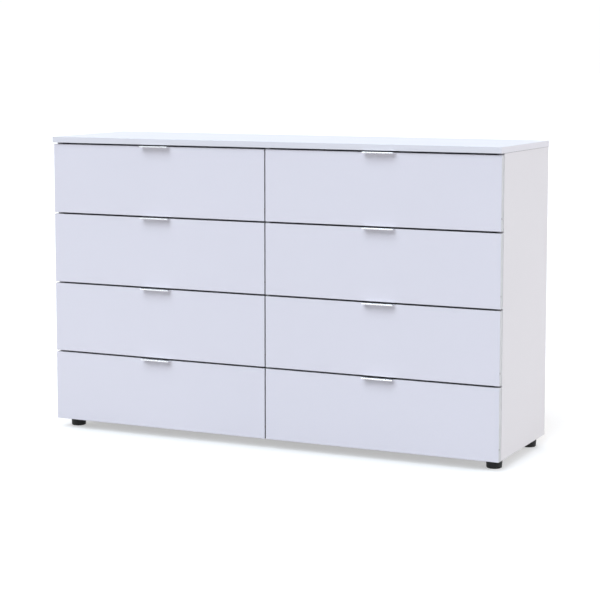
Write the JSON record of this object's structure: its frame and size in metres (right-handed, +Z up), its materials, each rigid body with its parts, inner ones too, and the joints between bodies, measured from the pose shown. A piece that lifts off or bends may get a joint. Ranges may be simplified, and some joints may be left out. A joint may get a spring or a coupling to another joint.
{
  "type": "chest of drawers",
  "caption": "Wide low chest with two columns of equal flush drawers, slim metal edge pulls, an overhanging top panel and short round feet.",
  "frame": {"origin": "on the floor, under the centre of the chest's box, handles included", "axes": "+X along the width to the right, +Y to the back, +Z up; the drawers face -Y"},
  "size_m": [1.3, 0.39, 0.813],
  "materials": {
    "carcass_board": "melamine-faced chipboard, matt white",
    "front_board": "lacquered board, cool white, satin gloss",
    "drawer_board": "foil-wrapped board, white",
    "hardboard": "hardboard, white on the inner face",
    "handle_metal": "satin anodised",
    "runner_steel": "zinc plated",
    "fitting_zinc": "die-cast, nickel plated",
    "screw_steel": "zinc plated",
    "dowel_beech": "bare beech",
    "foot_plastic": "moulded, black"
  },
  "bodies": {
    "carcass": {"back_nails": "screw_steel", "back_panels": "hardboard", "bottom_panel": "carcass_board", "cabinet_runners": "runner_steel", "cam_fittings": "fitting_zinc", "centre_partition": "carcass_board", "dowels": "dowel_beech", "feet": "foot_plastic", "foot_screws": "screw_steel", "left_side_panel": "carcass_board", "right_side_panel": "carcass_board", "top_panel": "carcass_board"},
    "left_drawer_4": {"left_drawer_4_front": "front_board", "left_drawer_4_handle": "handle_metal", "left_drawer_4_box": "drawer_board", "left_drawer_4_bottom": "hardboard", "left_drawer_4_runners": "runner_steel"},
    "left_drawer_4_cages": {"left_drawer_4_ball_cages": "runner_steel"},
    "left_drawer_3": {"left_drawer_3_front": "front_board", "left_drawer_3_handle": "handle_metal", "left_drawer_3_box": "drawer_board", "left_drawer_3_bottom": "hardboard", "left_drawer_3_runners": "runner_steel"},
    "left_drawer_3_cages": {"left_drawer_3_ball_cages": "runner_steel"},
    "left_drawer_2": {"left_drawer_2_front": "front_board", "left_drawer_2_handle": "handle_metal", "left_drawer_2_box": "drawer_board", "left_drawer_2_bottom": "hardboard", "left_drawer_2_runners": "runner_steel"},
    "left_drawer_2_cages": {"left_drawer_2_ball_cages": "runner_steel"},
    "left_drawer_1": {"left_drawer_1_front": "front_board", "left_drawer_1_handle": "handle_metal", "left_drawer_1_box": "drawer_board", "left_drawer_1_bottom": "hardboard", "left_drawer_1_runners": "runner_steel"},
    "left_drawer_1_cages": {"left_drawer_1_ball_cages": "runner_steel"},
    "right_drawer_4": {"right_drawer_4_front": "front_board", "right_drawer_4_handle": "handle_metal", "right_drawer_4_box": "drawer_board", "right_drawer_4_bottom": "hardboard", "right_drawer_4_runners": "runner_steel"},
    "right_drawer_4_cages": {"right_drawer_4_ball_cages": "runner_steel"},
    "right_drawer_3": {"right_drawer_3_front": "front_board", "right_drawer_3_handle": "handle_metal", "right_drawer_3_box": "drawer_board", "right_drawer_3_bottom": "hardboard", "right_drawer_3_runners": "runner_steel"},
    "right_drawer_3_cages": {"right_drawer_3_ball_cages": "runner_steel"},
    "right_drawer_2": {"right_drawer_2_front": "front_board", "right_drawer_2_handle": "handle_metal", "right_drawer_2_box": "drawer_board", "right_drawer_2_bottom": "hardboard", "right_drawer_2_runners": "runner_steel"},
    "right_drawer_2_cages": {"right_drawer_2_ball_cages": "runner_steel"},
    "right_drawer_1": {"right_drawer_1_front": "front_board", "right_drawer_1_handle": "handle_metal", "right_drawer_1_box": "drawer_board", "right_drawer_1_bottom": "hardboard", "right_drawer_1_runners": "runner_steel"},
    "right_drawer_1_cages": {"right_drawer_1_ball_cages": "runner_steel"}
  },
  "joints": [
    {"name": "left_drawer_4_slide", "type": "slide", "parent": "carcass", "child": "left_drawer_4", "axis": [0, -1, 0], "range_m": [0, 0.22]},
    {"name": "left_drawer_4_cage_slide", "type": "slide", "parent": "carcass", "child": "left_drawer_4_cages", "axis": [0, -1, 0], "range_m": [0, 0.11]},
    {"name": "left_drawer_3_slide", "type": "slide", "parent": "carcass", "child": "left_drawer_3", "axis": [0, -1, 0], "range_m": [0, 0.22]},
    {"name": "left_drawer_3_cage_slide", "type": "slide", "parent": "carcass", "child": "left_drawer_3_cages", "axis": [0, -1, 0], "range_m": [0, 0.11]},
    {"name": "left_drawer_2_slide", "type": "slide", "parent": "carcass", "child": "left_drawer_2", "axis": [0, -1, 0], "range_m": [0, 0.22]},
    {"name": "left_drawer_2_cage_slide", "type": "slide", "parent": "carcass", "child": "left_drawer_2_cages", "axis": [0, -1, 0], "range_m": [0, 0.11]},
    {"name": "left_drawer_1_slide", "type": "slide", "parent": "carcass", "child": "left_drawer_1", "axis": [0, -1, 0], "range_m": [0, 0.22]},
    {"name": "left_drawer_1_cage_slide", "type": "slide", "parent": "carcass", "child": "left_drawer_1_cages", "axis": [0, -1, 0], "range_m": [0, 0.11]},
    {"name": "right_drawer_4_slide", "type": "slide", "parent": "carcass", "child": "right_drawer_4", "axis": [0, -1, 0], "range_m": [0, 0.22]},
    {"name": "right_drawer_4_cage_slide", "type": "slide", "parent": "carcass", "child": "right_drawer_4_cages", "axis": [0, -1, 0], "range_m": [0, 0.11]},
    {"name": "right_drawer_3_slide", "type": "slide", "parent": "carcass", "child": "right_drawer_3", "axis": [0, -1, 0], "range_m": [0, 0.22]},
    {"name": "right_drawer_3_cage_slide", "type": "slide", "parent": "carcass", "child": "right_drawer_3_cages", "axis": [0, -1, 0], "range_m": [0, 0.11]},
    {"name": "right_drawer_2_slide", "type": "slide", "parent": "carcass", "child": "right_drawer_2", "axis": [0, -1, 0], "range_m": [0, 0.22]},
    {"name": "right_drawer_2_cage_slide", "type": "slide", "parent": "carcass", "child": "right_drawer_2_cages", "axis": [0, -1, 0], "range_m": [0, 0.11]},
    {"name": "right_drawer_1_slide", "type": "slide", "parent": "carcass", "child": "right_drawer_1", "axis": [0, -1, 0], "range_m": [0, 0.22]},
    {"name": "right_drawer_1_cage_slide", "type": "slide", "parent": "carcass", "child": "right_drawer_1_cages", "axis": [0, -1, 0], "range_m": [0, 0.11]}
  ],
  "couplings": [
    {"joint": "left_drawer_4_cage_slide", "follows": "left_drawer_4_slide", "ratio": 0.5},
    {"joint": "left_drawer_3_cage_slide", "follows": "left_drawer_3_slide", "ratio": 0.5},
    {"joint": "left_drawer_2_cage_slide", "follows": "left_drawer_2_slide", "ratio": 0.5},
    {"joint": "left_drawer_1_cage_slide", "follows": "left_drawer_1_slide", "ratio": 0.5},
    {"joint": "right_drawer_4_cage_slide", "follows": "right_drawer_4_slide", "ratio": 0.5},
    {"joint": "right_drawer_3_cage_slide", "follows": "right_drawer_3_slide", "ratio": 0.5},
    {"joint": "right_drawer_2_cage_slide", "follows": "right_drawer_2_slide", "ratio": 0.5},
    {"joint": "right_drawer_1_cage_slide", "follows": "right_drawer_1_slide", "ratio": 0.5}
  ]
}
